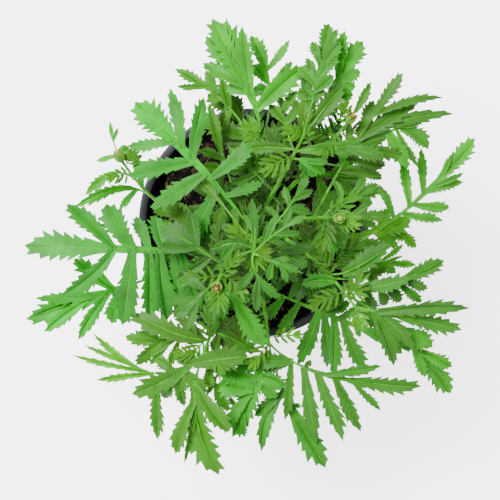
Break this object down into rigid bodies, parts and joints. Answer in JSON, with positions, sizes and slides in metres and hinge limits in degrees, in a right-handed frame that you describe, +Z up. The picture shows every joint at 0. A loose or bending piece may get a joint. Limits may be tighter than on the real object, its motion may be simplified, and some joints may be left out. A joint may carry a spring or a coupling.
{
  "type": "potted french marigold",
  "caption": "Tapered round nursery pot of potting soil holding a bushy French marigold in bud, with branching stems, feathery toothed leaves and small closed buds.",
  "frame": {"origin": "centre of the pot's flat foot, on the surface that it stands on", "axes": "+Z up along the pot's axis; seen from above with +Y away from the viewer, +X is to the right, as in the picture"},
  "size_m": [0.2331, 0.2248, 0.2063],
  "materials": {
    "pot_plastic": "dark grey, slightly purple moulded plastic with a soft sheen on the rim",
    "soil": "moist, nearly black peat mix with brown fibres and bark",
    "foliage": "satin green leaf with paler stems and midribs",
    "bud_green": "ribbed yellow-green bud cup",
    "petal": "dark red-brown furled petal tips with yellow edges"
  },
  "bodies": {
    "root": {"pot": "pot_plastic", "potting_soil": "soil", "main_stem": "foliage", "left_shoot": "foliage", "low_left_shoot": "foliage", "front_left_shoot": "foliage", "front_shoot": "foliage", "front_right_shoot": "foliage", "right_shoot": "foliage", "low_right_shoot": "foliage", "back_right_shoot": "foliage", "back_shoot": "foliage", "back_left_shoot": "foliage", "centre_left_shoot": "foliage", "centre_left_bud_cup": "bud_green", "centre_left_bud_petals": "petal", "right_bud_cup": "bud_green", "right_bud_petals": "petal", "back_right_bud_cup": "bud_green", "back_right_bud_petals": "petal", "left_bud_cup": "bud_green", "left_bud_petals": "petal"}
  },
  "joints": []
}
